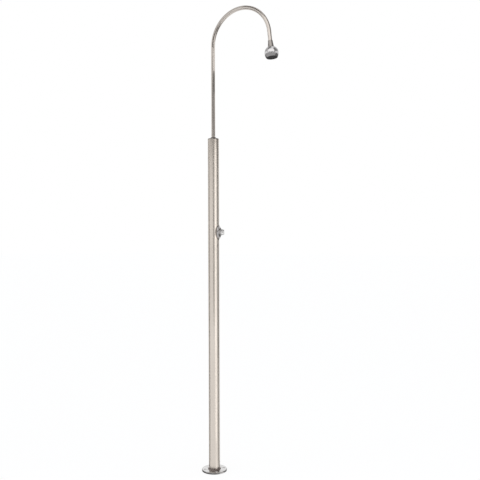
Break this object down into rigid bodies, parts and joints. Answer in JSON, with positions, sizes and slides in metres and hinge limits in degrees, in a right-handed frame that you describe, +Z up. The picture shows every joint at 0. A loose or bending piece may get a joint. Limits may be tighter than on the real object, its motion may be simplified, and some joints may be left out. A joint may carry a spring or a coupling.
{
  "type": "outdoor shower post",
  "caption": "Round steel post on a bolted foot plate with a push valve in its side and a swivelling gooseneck that carries a ball-shaped shower head.",
  "frame": {"origin": "on the ground, in the middle of the foot plate's underside, on the axis of the post", "axes": "+Z up along the post, +X the way the gooseneck reaches at rest, +Y to its left; the valve faces 25.8 degrees from +X towards +Y"},
  "size_m": [0.4164, 0.12, 2.2155],
  "materials": {
    "post_steel": "satin",
    "plate_steel": "satin",
    "cap_steel": "satin",
    "pipe_steel": "semi-polished",
    "fitting_steel": "satin",
    "tube_steel": "plain",
    "head_chrome": "satin",
    "valve_chrome": "polished",
    "brass": "machined",
    "seal_rubber": "moulded",
    "nozzle_rubber": "moulded",
    "face_plastic": "satin",
    "grey_plastic": "moulded"
  },
  "bodies": {
    "post": {"base_flange": "plate_steel", "inlet_adaptor": "brass", "inlet_seal": "seal_rubber", "supply_tube": "tube_steel", "supply_union_nuts": "brass", "supply_washers": "seal_rubber", "post_tube": "post_steel", "valve_body": "brass", "saddle_seal": "seal_rubber", "rosette_gasket": "seal_rubber", "valve_rosette": "valve_chrome", "valve_nut": "brass", "valve_cartridge": "brass", "stem_seal": "seal_rubber", "riser_tube": "tube_steel", "riser_union_nuts": "brass", "riser_washers": "seal_rubber", "post_cap": "cap_steel", "spout_socket": "brass", "spout_seals": "seal_rubber", "spout_collar": "fitting_steel", "spout_clip": "tube_steel", "return_spring": "tube_steel"},
    "button": {"push_button": "valve_chrome", "plunger_stem": "tube_steel", "plunger_seal": "seal_rubber"},
    "spout": {"gooseneck_pipe": "pipe_steel", "neck_cone": "fitting_steel", "filter_screen": "grey_plastic", "swivel_ball": "tube_steel"},
    "swivel": {"seat_ring": "grey_plastic"},
    "head": {"ball_socket": "grey_plastic", "ball_retainer": "grey_plastic", "nozzle_mat": "nozzle_rubber", "spray_plate": "face_plastic", "head_shell": "head_chrome"}
  },
  "joints": [
    {"name": "spout_swivel", "type": "hinge", "parent": "post", "child": "spout", "pos_m": [0, 0, 1.6], "axis": [0, 0, 1], "continuous": true},
    {"name": "head_turn", "type": "hinge", "parent": "spout", "child": "swivel", "pos_m": [0.32343, 0, 1.96687], "axis": [-0.1132, 0, 0.9936], "continuous": true},
    {"name": "head_tilt", "type": "hinge", "parent": "swivel", "child": "head", "pos_m": [0.32343, 0, 1.96687], "axis": [0, 1, 0], "range_deg": [-8, 8]},
    {"name": "button_press", "type": "slide", "parent": "post", "child": "button", "axis": [-0.9003, -0.4352, 0], "range_m": [0, 0.0045], "stiffness_N_per_m": 1200, "springref_m": -0.003, "deforming": ["return_spring"]}
  ]
}
